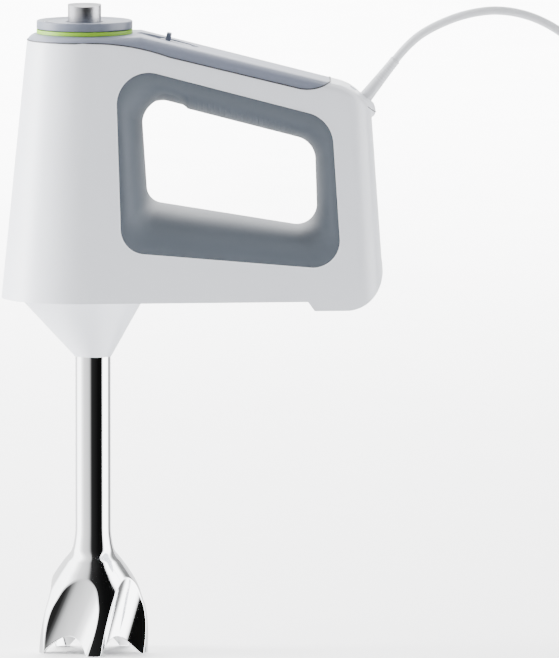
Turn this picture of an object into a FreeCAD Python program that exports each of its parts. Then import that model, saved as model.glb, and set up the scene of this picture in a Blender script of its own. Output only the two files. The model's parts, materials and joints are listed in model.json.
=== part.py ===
import FreeCAD, Part
import math
import os

import Sketcher

from FreeCAD import Placement, Rotation, Vector

# Hand-held mixer motor body standing on its clip-on immersion blending shaft.
# Frame: origin on the shaft axis at the bell's rim, +Z up, +X towards the cord, Y across the handle.

doc = FreeCAD.newDocument("immersion_blender")
sheet = doc.addObject("Spreadsheet::Sheet", "dims")

SIZES = {
    # blending shaft and bell
    "tube_radius": 10.6, "tube_wall": 0.8, "tube_bottom": 70.0, "tube_top": 192.0,
    "bell_radius": 33.3, "bell_wall": 0.9, "bell_top": 70.0, "flutes": 5,
    "flute_radius": 28.5, "flute_distance": 52.3, "flute_middle": 20.0, "flute_turn": 9.5,
    "flute_lean": 24.0, "flute_tilt": 2.0, "notch_height": 11.0, "notch_radius": 17.0,
    "adapter_top": 213.3, "adapter_bottom": 178.0, "adapter_radius": 37.3, "adapter_offset": 6.5,
    "adapter_wall": 2.2, "peg_x": -32.0, "peg_y": 12.0,
    # running train
    "shaft_radius": 2.5, "blade_shaft_radius": 2.5, "running_gap": 0.05, "blade_level": 15.0,
    "blade_reach": 22.0, "coupling_radius": 6.0, "blade_shaft_top": 206.0, "motor_shaft_top": 337.0,
    # motor body
    "base_level": 213.5, "foot_level": 208.0, "top_level": 372.4, "wall": 2.4,
    "nose_low": 48.2, "nose_low_x": -8.0, "nose_high": 31.2, "nose_high_x": -6.0,
    "rear_low": 30.0, "rear_high": 19.5, "rear_low_x": 176.0, "rear_high_x": 162.4,
    "plan_low_level": 200.0, "plan_high_level": 390.0, "plan_low_corner": 15.0, "plan_high_corner": 12.0,
    "edge_round": 6.0, "base_plate_radius": 39.0, "base_plate_thick": 3.0, "cover_seam": 7.9,
    # controls
    "dial_x": -4.9, "dial_radius": 28.8, "ring_height": 2.4, "dial_height": 5.4,
    "button_radius": 10.0, "dial_hub": 12.6,
    "button_top": 391.0, "eject_travel": 8.0, "stem_radius": 3.5, "slope_angle": 13.87,
    "slide_x": 50.0, "slide_travel": 5.0, "slide_length": 19.0, "slide_width": 10.0, "slide_thick": 1.7,
    "slide_top": -0.3, "slide_rib": 3.0, "slide_rib_forward": 5.1, "slide_rib_top": 4.4,
    # motor
    "stator_low": 272.0, "stator_high": 306.0, "stator_radius": 23.0, "armature_radius": 11.5,
    # beater gears
    "gear_module": 0.6, "pinion_teeth": 12, "gear_teeth": 60, "beater_x": -11.94, "beater_y": 18.0,
    "gear_low": 223.0, "gear_high": 230.5, "spindle_radius": 5.0, "spindle_bore": 3.3,
    "bolt_offset": 26.2,
    # hand opening
    "liner_thick": 3.0, "liner_web": 2.0,
    # cord
    "cord_diameter": 5.2, "cord_first_run": 14.0, "swivel_x": 160.8, "swivel_level": 330.5,
    "swivel_radius": 11.0, "swivel_angle": 51.5, "coil_x": 344.0, "coil_mid_radius": 30.0, "coil_rows": 2,
    "lead_length": 36.0, "plug_length": 48.0, "plug_width": 37.0, "plug_neck": 18.0, "plug_shoulder": 34.0,
    "plug_relief": 16.0, "plug_pin_radius": 2.4, "plug_pin_length": 19.0, "plug_pin_gap": 19.0,
}
for row, (alias, number) in enumerate(SIZES.items(), 1):
    sheet.set(f"A{row}", alias)
    sheet.set(f"B{row}", str(number))
    sheet.setAlias(f"B{row}", alias)
doc.recompute()

nodes = []


def size(text):
    """The value of a cell or of a formula of cells."""
    return float(sheet.evalExpression(str(text)))


def formula(text):
    """A formula of this sheet's cells as other objects see it."""
    words = str(text).replace("(", "( ").replace(")", " )").split()
    return " ".join("dims." + word if word in SIZES else word for word in words)


def bind(item, **cells):
    for prop, text in cells.items():
        item.setExpression(prop, formula(text))
    return item


def place(item, x=0, y=0, z=0, spin=None):
    if spin is not None:
        item.Placement = Placement(Vector(), Rotation(*spin))
    for axis, text in (("x", x), ("y", y), ("z", z)):
        item.setExpression("Placement.Base." + axis, formula(text))
    return item


def keep(item, label):
    item.Label = label
    nodes.append(item)
    return item


def cylinder(radius, height, x=0, y=0, z=0, spin=None):
    item = doc.addObject("Part::Cylinder", "cylinder")
    bind(item, Radius=radius, Height=height)
    return place(item, x, y, z, spin)


def block(length, width, height, x=0, y=0, z=0, spin=None):
    item = doc.addObject("Part::Box", "block")
    bind(item, Length=length, Width=width, Height=height)
    return place(item, x, y, z, spin)


def cone(radius_low, radius_high, height, x=0, y=0, z=0, spin=None):
    item = doc.addObject("Part::Cone", "cone")
    bind(item, Radius1=radius_low, Radius2=radius_high, Height=height)
    return place(item, x, y, z, spin)


def cut(base, tool):
    item = doc.addObject("Part::Cut", "cut")
    item.Base = base
    item.Tool = tool
    return item


def fuse(*items):
    item = doc.addObject("Part::MultiFuse", "fuse")
    item.Shapes = list(items)
    item.Refine = True
    return item


def group(*items):
    item = doc.addObject("Part::Compound", "group")
    item.Links = list(items)
    return item


def drill(base, *tools):
    for tool in tools:
        base = cut(base, tool)
    return base


def washer(outer, inner, height, x=0, y=0, z=0):
    return cut(cylinder(outer, height, x, y, z),
               cylinder(inner, f"{height} + 2", x, y, f"{z} - 1"))


def feature(shape, label):
    item = doc.addObject("Part::Feature", "shape")
    spot = shape.Placement
    item.Shape = shape
    item.Placement = spot
    return keep(item, label)


def origin_plane(body, role):
    return next(plane for plane in body.Origin.OriginFeatures if plane.Role == role)


def turned(label, corners, x=0, y=0):
    """A body turned about its own Z axis from a closed outline of (radius, level) formulas."""
    body = doc.addObject("PartDesign::Body", label)
    sketch = body.newObject("Sketcher::SketchObject", label + "_outline")
    sketch.AttachmentSupport = (origin_plane(body, "XZ_Plane"), [""])
    sketch.MapMode = "FlatFace"
    points = [Vector(size(r), size(z), 0) for r, z in corners]
    count = len(points)
    for index, point in enumerate(points):
        sketch.addGeometry(Part.LineSegment(point, points[(index + 1) % count]), False)
    for index in range(count):
        sketch.addConstraint(Sketcher.Constraint("Coincident", index, 2, (index + 1) % count, 1))
    for index, (radius, level) in enumerate(corners):
        for kind, text in (("DistanceX", radius), ("DistanceY", level)):
            number = sketch.addConstraint(Sketcher.Constraint(kind, -1, 1, index, 1, size(text)))
            sketch.setExpression(f"Constraints[{number}]", formula(text))
    spin = body.newObject("PartDesign::Revolution", label + "_turn")
    spin.Profile = sketch
    spin.ReferenceAxis = (sketch, ["V_Axis"])
    spin.Angle = 360.0
    place(body, x, y)
    return keep(body, label)


# ---- motor body outer form ----

def tangent_points(nose_x, nose_radius, corner_x, corner_y, corner_radius):
    """Where a straight side touches the nose circle and the rear corner circle."""
    distance = math.hypot(corner_x - nose_x, corner_y)
    turn = math.atan2(corner_y, corner_x - nose_x) + math.acos((nose_radius - corner_radius) / distance)
    outward = Vector(math.cos(turn), math.sin(turn), 0)
    nose = Vector(nose_x, 0, 0) + outward * nose_radius
    return nose, Vector(corner_x, corner_y, 0) + outward * corner_radius, outward


def plan_wire(level, nose_x, nose_radius, rear_x, rear_half, corner_radius):
    """Egg-shaped plan outline: round nose, straight tapering sides, crowned rear with round corners."""
    crown = math.radians(20)
    corner_y = rear_half - corner_radius
    corner_x = rear_x - corner_radius - corner_y * math.tan(crown / 2)
    nose, side, outward = tangent_points(nose_x, nose_radius, corner_x, corner_y, corner_radius)
    centre = Vector(corner_x, corner_y, 0)
    rear = centre + Vector(math.cos(crown), math.sin(crown), 0) * corner_radius
    middle = centre + (outward + Vector(math.cos(crown), math.sin(crown), 0)).normalize() * corner_radius

    def other(point):
        return Vector(point.x, -point.y, 0)

    edges = [
        Part.Arc(nose, Vector(nose_x - nose_radius, 0, 0), other(nose)),
        Part.LineSegment(other(nose), other(side)),
        Part.Arc(other(side), other(middle), other(rear)),
        Part.Arc(other(rear), Vector(rear_x, 0, 0), rear),
        Part.Arc(rear, middle, side),
        Part.LineSegment(side, nose),
    ]
    wire = Part.Wire([edge.toShape() for edge in edges])
    wire.translate(Vector(0, 0, level))
    return wire


def plan_loft(inset):
    low = plan_wire(size("plan_low_level"), size("nose_low_x"), size("nose_low") - inset,
                    size("rear_low_x") - inset, size("rear_low") - inset, size("plan_low_corner") - inset)
    high = plan_wire(size("plan_high_level"), size("nose_high_x"), size("nose_high") - inset,
                     size("rear_high_x") - inset, size("rear_high") - inset,
                     size("plan_high_corner") - inset)
    return Part.makeLoft([low, high], True, True)


def slab(wire, half=80.0):
    """A side outline in the XZ plane, thickened both ways across the handle."""
    face = Part.Face(wire)
    face.translate(Vector(0, -half, 0))
    return face.extrude(Vector(0, 2 * half, 0))


def point(x, z):
    return Vector(x, 0, z)


SLOPE = math.tan(math.radians(size("slope_angle")))


def handle_top(x):
    return size("top_level") - SLOPE * (x - 29.0)


def side_wire(inset):
    """Side outline of the motor body: nose, flat crown, sloping handle, round rear, foot, base."""
    top = size("top_level") - inset
    base = size("base_level") + inset
    foot = size("foot_level") + inset
    front = -80.0
    bend = 29.0 - inset * 0.12
    step = 130.0 + inset
    start = point(146.0, handle_top(146.0) - inset / math.cos(math.radians(size("slope_angle"))))
    shoulder_end = point(167.2 - inset, 322.0)
    waist = point(173.2 - inset, 236.0)
    heel = point(154.0, foot)
    edges = [
        Part.LineSegment(point(front, base), point(front, top)),
        Part.LineSegment(point(front, top), point(bend, top)),
        Part.LineSegment(point(bend, top), start),
        Part.Arc(start, point(160.6 - inset * 0.7, 335.2 - inset * 0.7), shoulder_end),
        Part.LineSegment(shoulder_end, waist),
        Part.Arc(waist, point(169.6 - inset * 0.7, 217.0 + inset * 0.7), heel),
        Part.LineSegment(heel, point(step + 3.0, foot)),
        Part.LineSegment(point(step + 3.0, foot), point(step - 1.0, base)),
        Part.LineSegment(point(step - 1.0, base), point(front, base)),
    ]
    return Part.Wire([edge.toShape() for edge in edges])


def crown_edges(shape):
    """The edges between the flanks and the crown, handle top and rear shoulder."""
    chosen = []
    for edge in shape.Edges:
        middle = edge.valueAt((edge.FirstParameter + edge.LastParameter) / 2)
        run = edge.tangentAt((edge.FirstParameter + edge.LastParameter) / 2)
        level = middle.z > size("top_level") - 60 and abs(run.z) < 0.97
        if level and not (abs(run.y) > 0.9 and middle.x > 0):
            chosen.append(edge)
    return chosen


def outer_form(inset):
    return plan_loft(inset).common(slab(side_wire(inset)))


def body_form():
    """The motor body's outside with a rounded crown."""
    form = outer_form(0.0)
    return form.makeFillet(size("edge_round"), crown_edges(form))


def half_width(x, z):
    """Half the body's width at a place on its tapering side."""
    widths = []
    for end in ("low", "high"):
        radius = size("rear_" + end)
        corner = size("plan_" + end + "_corner")
        nose, side, outward = tangent_points(size(f"nose_{end}_x"), size("nose_" + end),
                                             size(f"rear_{end}_x") - corner, radius - corner, corner)
        share = (x - nose.x) / (side.x - nose.x)
        widths.append(nose.y + share * (side.y - nose.y))
    rise = (z - size("plan_low_level")) / (size("plan_high_level") - size("plan_low_level"))
    return widths[0] + rise * (widths[1] - widths[0])


# ---- hand opening and its rolled liner ----

# corner (x, z, radius) of the opening at the middle of the handle, and of the liner's edge on the side
OPENING_CORNERS = [
    ((28.8, 334.2, 12.0), (13.8, 357.0, 19.0)),
    ((33.0, 271.6, 10.0), (17.4, 244.2, 15.0)),
    ((134.6, 255.4, 12.0), (149.2, 232.4, 16.0)),
    ((133.0, 307.4, 14.0), (143.2, 322.7, 20.0)),
]
LINER_DEPTH = 15.6


def round_quad(corners, y):
    """A closed wire through four rounded corners (x, z, radius) in the plane at y."""
    spots = [Vector(x, y, z) for x, z, radius in corners]
    starts, ends, edges = [], [], []
    for index, spot in enumerate(spots):
        before = (spots[index - 1] - spot).normalize()
        after = (spots[(index + 1) % 4] - spot).normalize()
        half = before.getAngle(after) / 2
        reach = corners[index][2] / math.tan(half)
        inward = (before + after).normalize()
        centre = spot + inward * (corners[index][2] / math.sin(half))
        starts.append(spot + before * reach)
        ends.append(spot + after * reach)
        edges.append(Part.Arc(starts[-1], centre - inward * corners[index][2], ends[-1]))
    loop = []
    for index in range(4):
        loop.append(edges[index].toShape())
        loop.append(Part.LineSegment(ends[index], starts[(index + 1) % 4]).toShape())
    return Part.Wire(loop)


def opening_void(depth, spread, even=False):
    """The space inside the liner's roll, moved outwards by depth at the roll and spread at its edge.

    An even void turns out to the liner's edge at the same distance from the middle all round.
    """
    widths = [half_width(edge[0], edge[1]) for inner, edge in OPENING_CORNERS]
    if even:
        widths = [min(widths)] * len(widths)
    widest = max(widths)
    first = depth / LINER_DEPTH
    middle_x = sum(edge[0] for inner, edge in OPENING_CORNERS) / 4
    middle_z = sum(edge[1] for inner, edge in OPENING_CORNERS) / 4
    shares = (0.0, 0.25, 0.45, 0.6, 0.72, 0.82, 0.9, 0.96, 1.0)
    levels = [share * widest for share in shares] + [80.0]
    sections = []
    for y in [-level for level in reversed(levels[1:])] + levels:
        corners = []
        for (inner, edge), full in zip(OPENING_CORNERS, widths):
            width = full - depth
            roll = 1 - math.sqrt(1 - min(1.0, abs(y) / width) ** 2)
            part = first + (1 - first) * roll
            end_x = edge[0] + math.copysign(spread, edge[0] - middle_x)
            end_z = edge[1] + math.copysign(spread, edge[1] - middle_z)
            corners.append((inner[0] + part * (end_x - inner[0]), inner[1] + part * (end_z - inner[1]),
                            inner[2] + part * (edge[2] + spread - inner[2])))
        sections.append(round_quad(corners, y))
    return Part.makeLoft(sections, True, True)


def cover_zone():
    """Everything above the soft top cover's seam, as a slab across the handle."""
    seam = size("cover_seam")
    high = 420.0
    front = point(-80.0, size("top_level") - 3.8)
    crown_end = point(2.0, size("top_level") - 3.8)
    bend_end = point(46.0, handle_top(46.0) - seam)
    tail = point(122.0, handle_top(122.0) - seam)
    tip = point(142.5, handle_top(142.5) + 0.5)
    edges = [
        Part.LineSegment(front, crown_end),
        Part.Arc(crown_end, point(24.5, size("top_level") - 6.2), bend_end),
        Part.LineSegment(bend_end, tail),
        Part.Arc(tail, point(134.6, handle_top(134.6) - 5.0), tip),
        Part.LineSegment(tip, point(142.5, high)),
        Part.LineSegment(point(142.5, high), point(-80.0, high)),
        Part.LineSegment(point(-80.0, high), front),
    ]
    return slab(Part.Wire([edge.toShape() for edge in edges]))


def upright(radius, low, high, x=0.0, y=0.0):
    return Part.makeCylinder(radius, high - low, Vector(x, y, low))


def slope_frame(x):
    """Placement whose X runs down the handle's top line and whose Z stands off it."""
    return Placement(Vector(x, 0, handle_top(x)), Rotation(Vector(0, 1, 0), size("slope_angle")))


def lens(grow):
    """The shallow lens-shaped recess round the slide switch."""
    ball = Part.makeSphere(1.0)
    shape = FreeCAD.Matrix()
    shape.scale(Vector(19.5 + grow, 10.5 + grow, 4.4 + grow))
    ball = ball.transformGeometry(shape)
    ball.Placement = slope_frame(size("slide_x") - size("slide_travel"))
    return ball


def swivel_direction():
    turn = math.radians(size("swivel_angle"))
    return Vector(math.cos(turn), 0, math.sin(turn))


def swivel_cylinder(radius, back, front):
    """A round bar along the cord exit axis, from back to front of the swivel's centre."""
    centre = point(size("swivel_x"), size("swivel_level"))
    return Part.makeCylinder(radius, front - back, centre + swivel_direction() * back, swivel_direction())


# casing screws: place on the side view; their heads sit in recesses on the far half
SCREWS = [(32.0, 228.0), (112.0, 225.0), (158.0, 226.0), (154.0, 300.0)]


def across(radius, near, far, x, z):
    """A round bar across the handle from y = near to y = far."""
    return Part.makeCylinder(radius, far - near, Vector(x, near, z), Vector(0, 1, 0))


def flank(form, x, z):
    """How far the outer form's far flank is from the middle plane."""
    return form.common(Part.makeLine(Vector(x, 0, z), Vector(x, 90, z))).BoundBox.YMax


def with_bosses(casing, form):
    """The casing with a screw boss, bore and head recess at each screw."""
    for x, z in SCREWS:
        face = flank(form, x, z)
        boss = across(4.8, 0, face, x, z).fuse(across(3.5, -face, 0, x, z))
        casing = casing.fuse(boss.common(form))
        casing = casing.cut(across(1.5, -12, face, x, z)).cut(across(3.2, face - 6, face + 9, x, z))
    return casing


def casing_screws(form):
    screws = []
    for x, z in SCREWS:
        face = flank(form, x, z)
        screws.append(across(1.5, -12, face - 6, x, z).fuse(across(3.0, face - 6, face - 3.6, x, z)))
    return Part.makeCompound(screws)


def vents(casing):
    """Row of air slots under the rear of the body."""
    for number in range(8):
        casing = casing.cut(Part.makeBox(2.4, 34.0, 8.0, Vector(46.0 + 7.5 * number, -17.0, 210.0)))
    return casing


def body_shells():
    """Left and right casing halves, soft top cover and grip liner, all cut from one outer form."""
    form = body_form()
    zone = cover_zone()
    liner, web = size("liner_thick"), size("liner_web")
    pocket = opening_void(liner, 0.0, even=True)
    cavity = outer_form(size("wall")).cut(opening_void(liner + web, web, even=True))
    casing = form.cut(pocket).cut(cavity).cut(zone)
    casing = casing.cut(upright(size("base_plate_radius") + 0.1, size("base_level") - 1,
                                size("base_level") + 6, -size("adapter_offset")))
    casing = casing.cut(swivel_cylinder(size("swivel_radius") - 1.2, -12.0, 20.0))
    casing = casing.cut(swivel_cylinder(size("swivel_radius") + 0.6, -1.0, 20.0))
    casing = vents(with_bosses(casing, form))
    far_half = Part.makeBox(400, 100, 300, Vector(-100, 0, 150))
    feature(casing.cut(far_half), "left_shell")
    feature(casing.common(far_half), "right_shell")
    cover = form.common(zone).fuse(form.common(lens(2.4))).cut(cavity.cut(lens(2.4))).cut(lens(0.0))
    slot = Part.makeBox(11.0, 3.6, 20.0, Vector(-8.0, -1.8, -10.0))
    slot.Placement = slope_frame(size("slide_x"))
    cover = cover.common(zone).cut(upright(size("dial_hub") + 0.5, 340, 400, size("dial_x"))).cut(slot)
    feature(cover.removeSplitter(), "top_cover")
    behind = outer_form(liner).cut(opening_void(liner, 0.0))
    feature(form.common(pocket).cut(opening_void(0.0, 0.0)).cut(behind), "grip_liner")
    feature(casing_screws(form), "casing_screws")


body_shells()


# ---- base plate, gearbox and beater drives ----

MIRROR = (1, -1)

keep(drill(cylinder("base_plate_radius", "base_plate_thick", "0 - adapter_offset", z="base_level"),
           cylinder("9.5", "20", z="200"),
           *[cylinder("2.8", "20", "peg_x", f"{side} * peg_y", "205") for side in MIRROR],
           *[cylinder("spindle_radius + running_gap", "20", "beater_x", f"{side} * beater_y", "205")
             for side in MIRROR]), "base_plate")


def gear_outline(teeth, module, phase):
    """Closed outline of a straight-sided spur gear."""
    pitch = module * teeth / 2
    corners = []
    for tooth in range(teeth):
        for share, radius in ((-0.33, pitch - 1.15 * module), (-0.125, pitch + 0.85 * module),
                              (0.125, pitch + 0.85 * module), (0.33, pitch - 1.15 * module)):
            turn = math.radians(phase + 360.0 * (tooth + share) / teeth)
            corners.append(Vector(radius * math.cos(turn), radius * math.sin(turn), 0))
    return Part.makePolygon(corners + corners[:1])


def gear(teeth, phase, x, y, low, high, bore):
    solid = Part.Face(gear_outline(teeth, size("gear_module"), phase)).extrude(Vector(0, 0, high - low))
    solid.translate(Vector(x, y, low))
    return solid.cut(upright(bore, low - 1, high + 1, x, y))


def beater_drives():
    """The two counter-turning beater gears, the pinion, their spindles and their plates."""
    x, y = size("beater_x"), size("beater_y")
    to_gear = math.degrees(math.atan2(y, x))
    spindle = size("spindle_radius")
    pinion_phase = to_gear
    gear_step = 360.0 / size("gear_teeth")
    gear_phase = to_gear + 180.0 + gear_step / 2
    partner = gear_phase + gear_step * round((270.0 - gear_phase) / gear_step)
    partner_phase = 90.0 + (270.0 - partner) + gear_step / 2
    feature(gear(int(size("pinion_teeth")), pinion_phase, 0, 0, 232.5, 239.5, size("shaft_radius")), "pinion")
    feature(gear(int(size("gear_teeth")), gear_phase, x, y, 223.0, 240.0, spindle), "beater_gear_front")
    feature(gear(int(size("gear_teeth")), partner_phase, x, -y, 223.0, 231.0, spindle), "beater_gear_back")


beater_drives()

for label, side in (("front", 1), ("back", -1)):
    turned("beater_spindle_" + label,
           [("spindle_bore", "base_level + 0.5"), ("spindle_radius", "base_level + 0.5"),
            ("spindle_radius", "243.8"), ("spindle_bore", "243.8")], "beater_x", f"{side} * beater_y")


def beater_bush(side, low):
    return washer("7.5", "spindle_radius + running_gap", "3", "beater_x", f"{side} * beater_y", low)


keep(group(*[beater_bush(side, low) for side in MIRROR for low in ("218.6", "241.6")]), "beater_bushes")


def gear_plate(label, low, thick, shaft_hole):
    plate = cylinder("29", thick, "-7", z=low)
    holes = [cylinder("7.5", "9", "beater_x", f"{side} * beater_y", f"{low} - 3") for side in MIRROR]
    return keep(drill(plate, cylinder(shaft_hole, "9", z=f"{low} - 3"), *holes), label)


gear_plate("gearbox_tray", "218.6", "3", "9.5")
gear_plate("gearbox_cover", "241.6", "3", "4.2")


# ---- motor ----

turned("motor_shaft", [("0.001", "214"), ("shaft_radius", "214"), ("shaft_radius", "motor_shaft_top"),
                       ("0.001", "motor_shaft_top")])
keep(drill(cylinder("8", "14", z="207"), cylinder("5", "7", z="206"),
           cylinder("shaft_radius", "20", z="205")),
     "drive_coupling")


def fan_wheel():
    """Axial cooling fan: hub, backing disc and tilted blades."""
    hub = upright(6.0, 264.0, 270.0)
    disc = upright(19.0, 264.0, 265.2)
    wheel = hub.fuse(disc)
    count = 9
    for number in range(count):
        blade = Part.makeBox(12.0, 1.2, 5.2, Vector(5.5, -0.6, 0))
        blade.Placement = Placement(Vector(0, 0, 264.8), Rotation(Vector(0, 0, 1), 360.0 * number / count))
        wheel = wheel.fuse(blade)
    return wheel.cut(upright(size("shaft_radius"), 260, 275))


feature(fan_wheel(), "cooling_fan")


def armature_core():
    """Slotted rotor stack."""
    core = upright(size("armature_radius"), 276.0, 304.0)
    slots = 12
    for number in range(slots):
        turn = 2 * math.pi * number / slots
        core = core.cut(upright(1.4, 275, 305, 9.4 * math.cos(turn), 9.4 * math.sin(turn)))
    return core.cut(upright(size("shaft_radius"), 270, 310))


feature(armature_core(), "armature_core")
keep(group(washer("9.8", "shaft_radius", "4.5", z="271.4"), washer("9.8", "shaft_radius", "5", z="304.1")),
     "armature_windings")
turned("commutator", [("shaft_radius", "314"), ("7", "314"), ("7", "324"), ("shaft_radius", "324")])


def stator_core():
    """Lamination stack: round outside with two flats, bored for the armature, windowed for the coils."""
    stack = upright(size("stator_radius") - 2.0, size("stator_low") + 4, size("stator_high") - 4)
    stack = stack.common(Part.makeBox(60, 38, 60, Vector(-30, -19, 265)))
    stack = stack.cut(upright(size("armature_radius") + 0.6, 260, 320))
    for side in MIRROR:
        window = Part.makeBox(26.0, 3.4, 60.0, Vector(-13.0, side * 14.6 - 1.7, 260.0))
        stack = stack.cut(window)
    return stack


feature(stator_core(), "stator_core")


def field_coil(side):
    frame = Part.makeBox(25.0, 3.0, 33.0, Vector(-12.5, side * 14.6 - 1.5, 272.5))
    return frame


feature(Part.makeCompound([field_coil(side) for side in MIRROR]), "field_coils")


BOLT_OFFSET = size("bolt_offset")


def bracket(low, thick, seat):
    """Motor end bracket: a bridge with a bearing seat and two bolt ears."""
    reach = BOLT_OFFSET + 3.0
    bar = Part.makeBox(20.0, 2 * reach, thick, Vector(-10.0, -reach, low))
    plate = upright(17.5, low, low + thick).fuse(bar)
    for side in MIRROR:
        plate = plate.cut(upright(1.6, low - 1, low + thick + 1, 0, side * BOLT_OFFSET))
    return plate.cut(upright(seat, low - 1, low + thick + 1))


feature(Part.makeCompound([bracket(low, 4.0, 6.5) for low in (258.0, 328.5)]), "motor_brackets")
keep(group(*[washer("6.5", "shaft_radius + running_gap", "4", z=low) for low in ("258", "328.5")]),
     "motor_bearings")
keep(group(*[fuse(cylinder("1.55", "78", y=f"{side} * bolt_offset", z="256.5"),
                  cylinder("3", "2.2", y=f"{side} * bolt_offset", z="332.5")) for side in MIRROR]),
     "motor_bolts")


def brush_set(label, near, far, width, low, high):
    parts = [block(width, f"{far} - {near}", f"{high} - {low}", f"0 - ({width}) / 2",
                   near if side > 0 else f"0 - ({far})", low) for side in MIRROR]
    return keep(group(*parts), label)


brush_set("carbon_brushes", "7.15", "15", "5", "316", "322")


def brush_holders():
    """Brass-lined boxes that guide the two brushes."""
    sides = []
    for side in MIRROR:
        box = Part.makeBox(9.0, 15.0, 10.0, Vector(-4.5, 9.0 if side > 0 else -24.0, 314.0))
        hole = Part.makeBox(5.2, 30.0, 6.2, Vector(-2.6, 0.0 if side > 0 else -30.0, 315.9))
        end = Part.makeBox(9.0, 1.0, 10.0, Vector(-4.5, 23.0 if side > 0 else -24.0, 314.0))
        post = Part.makeBox(3.0, 3.0, 5.4, Vector(-4.5, 20.0 if side > 0 else -23.0, 323.0))
        sides.append(box.cut(hole).fuse(end).fuse(post))
    return Part.makeCompound(sides)


feature(brush_holders(), "brush_holders")


def coil_spring(radius, wire, pitch, turns, base, direction):
    """A round-wire spring of closed helical turns."""
    helix = Part.makeHelix(pitch, pitch * turns, radius)
    profile = Part.Wire([Part.Circle(Vector(radius, 0, 0), Vector(0, 1, 0), wire).toShape()])
    solid = Part.Wire(helix).makePipeShell([profile], True, True)
    solid.Placement = Placement(base, Rotation(Vector(0, 0, 1), direction))
    return solid


feature(Part.makeCompound([coil_spring(1.6, 0.3, 1.4, 5, Vector(0, side * 15.4, 319.0),
                                       Vector(0, side, 0)) for side in MIRROR]), "brush_springs")


# ---- top controls ----

turned("accent_ring", [("dial_hub + 0.4", "top_level + 0.15"), ("dial_radius", "top_level + 0.15"),
                       ("dial_radius", "top_level + ring_height"),
                       ("dial_hub + 0.4", "top_level + ring_height")], "dial_x")
turned("speed_dial", [("button_radius + 0.4", "361"), ("dial_hub", "361"),
                      ("dial_hub", "top_level + ring_height + 0.2"),
                      ("dial_radius", "top_level + ring_height + 0.2"),
                      ("dial_radius", "top_level + ring_height + dial_height - 1"),
                      ("dial_radius - 1", "top_level + ring_height + dial_height"),
                      ("button_radius + 0.4", "top_level + ring_height + dial_height - 0.5")], "dial_x")


def eject_button():
    """Round metal button with a scooped, forward-tilted top."""
    x, top = size("dial_x"), size("button_top")
    low = size("top_level")
    button = upright(size("button_radius"), low, top, x)
    tilt = Part.makeBox(60, 60, 20, Vector(-30, -30, 0))
    tilt.Placement = Placement(Vector(x, 0, top - 1.2), Rotation(Vector(1, 0, 0), 7.0))
    button = button.cut(tilt)
    scoop = Part.makeSphere(32.0, Vector(x, 0, top + 29.2))
    button = button.cut(scoop)
    return button.fuse(upright(size("stem_radius"), 352.0, low, x))


feature(eject_button(), "eject_button")


def ejector():
    """Bridge over the motor, rod beside it, and plate with two push pins."""
    x = -28.0
    bridge = Part.makeBox(32.0, 6.0, 4.0, Vector(x - 2.0, -3.0, 348.0))
    rod = upright(2.0, 253.2, 352.0, x)
    plate = Part.makeBox(22.0, 42.0, 2.6, Vector(x - 3.0, -21.0, 253.2))
    solid = bridge.fuse(rod).fuse(plate)
    for side in MIRROR:
        solid = solid.fuse(upright(2.2, 245.2, 254.0, size("beater_x"), side * size("beater_y")))
    return solid


feature(ejector(), "ejector_frame")
feature(coil_spring(5.5, 0.5, 3.0, 5, Vector(size("dial_x"), 0, 356.0), Vector(0, 0, 1)), "eject_spring")


def slide_switch():
    """Slide with a raised thumb rib and a stem through the cover."""
    length, width, top = size("slide_length"), size("slide_width"), size("slide_top")
    rib_top = size("slide_rib_top")
    rib_wide, rib_tall = width - 2.0, rib_top - top + 0.5
    thick = size("slide_thick")
    body = Part.makeBox(length, width, thick, Vector(-length / 2, -width / 2, top - thick))
    body = body.makeFillet(2.5, [edge for edge in body.Edges if abs(edge.tangentAt(0).z) > 0.9])
    rib_start = Vector(-size("slide_rib_forward") - size("slide_rib") / 2, -rib_wide / 2, top - 0.5)
    rib = Part.makeBox(size("slide_rib"), rib_wide, rib_tall, rib_start)
    rib = rib.makeFillet(0.8, [edge for edge in rib.Edges if edge.CenterOfMass.z > rib_top - 0.4])
    stem = Part.makeBox(4.0, 3.0, 8.1, Vector(-2.0, -1.5, -9.6))
    slide = body.fuse(rib).fuse(stem)
    slide.Placement = slope_frame(size("slide_x"))
    return slide


feature(slide_switch(), "slide_switch")


def switch_body():
    box = Part.makeBox(24.0, 13.0, 8.0, Vector(-14.0, -6.5, -18.2))
    box.Placement = slope_frame(size("slide_x"))
    return box


feature(switch_body(), "switch_body")


def control_board():
    """Half-round circuit board with a hole for the button's stem."""
    board = upright(23.0, 353.5, 355.1, -7.0).common(Part.makeBox(40, 50, 10, Vector(-31.0, -25.0, 350.0)))
    return board.cut(upright(6.0, 350, 360, size("dial_x")))


feature(control_board(), "control_board")
feature(Part.makeBox(6.0, 16.0, 9.0, Vector(-30.0, -8.0, 355.1)), "heat_sink")
keep(washer("14.4", "7", "5", "dial_x", z="355.2"), "speed_control")


# ---- blending attachment ----

def oblique_cone(low, high, low_level, high_level, low_x, high_x):
    rings = [Part.Wire(Part.Circle(Vector(x, 0, z), Vector(0, 0, 1), radius).toShape())
             for x, z, radius in ((low_x, low_level, low), (high_x, high_level, high))]
    return Part.makeLoft(rings, True, True)


def adapter_shell():
    """Leaning cone between the round tube and the wide body."""
    low, high = size("adapter_bottom"), size("adapter_top")
    shift = -size("adapter_offset")
    tube = size("tube_radius")
    outside = oblique_cone(tube + 0.4, size("adapter_radius"), low, high, 0, shift)
    floor = low + 10.0
    inside = oblique_cone(15.0, size("adapter_radius") - size("adapter_wall"), floor, high + 0.01,
                          -2.0, shift)
    return outside.cut(inside).cut(upright(tube, low - 1, floor + 1))


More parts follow.
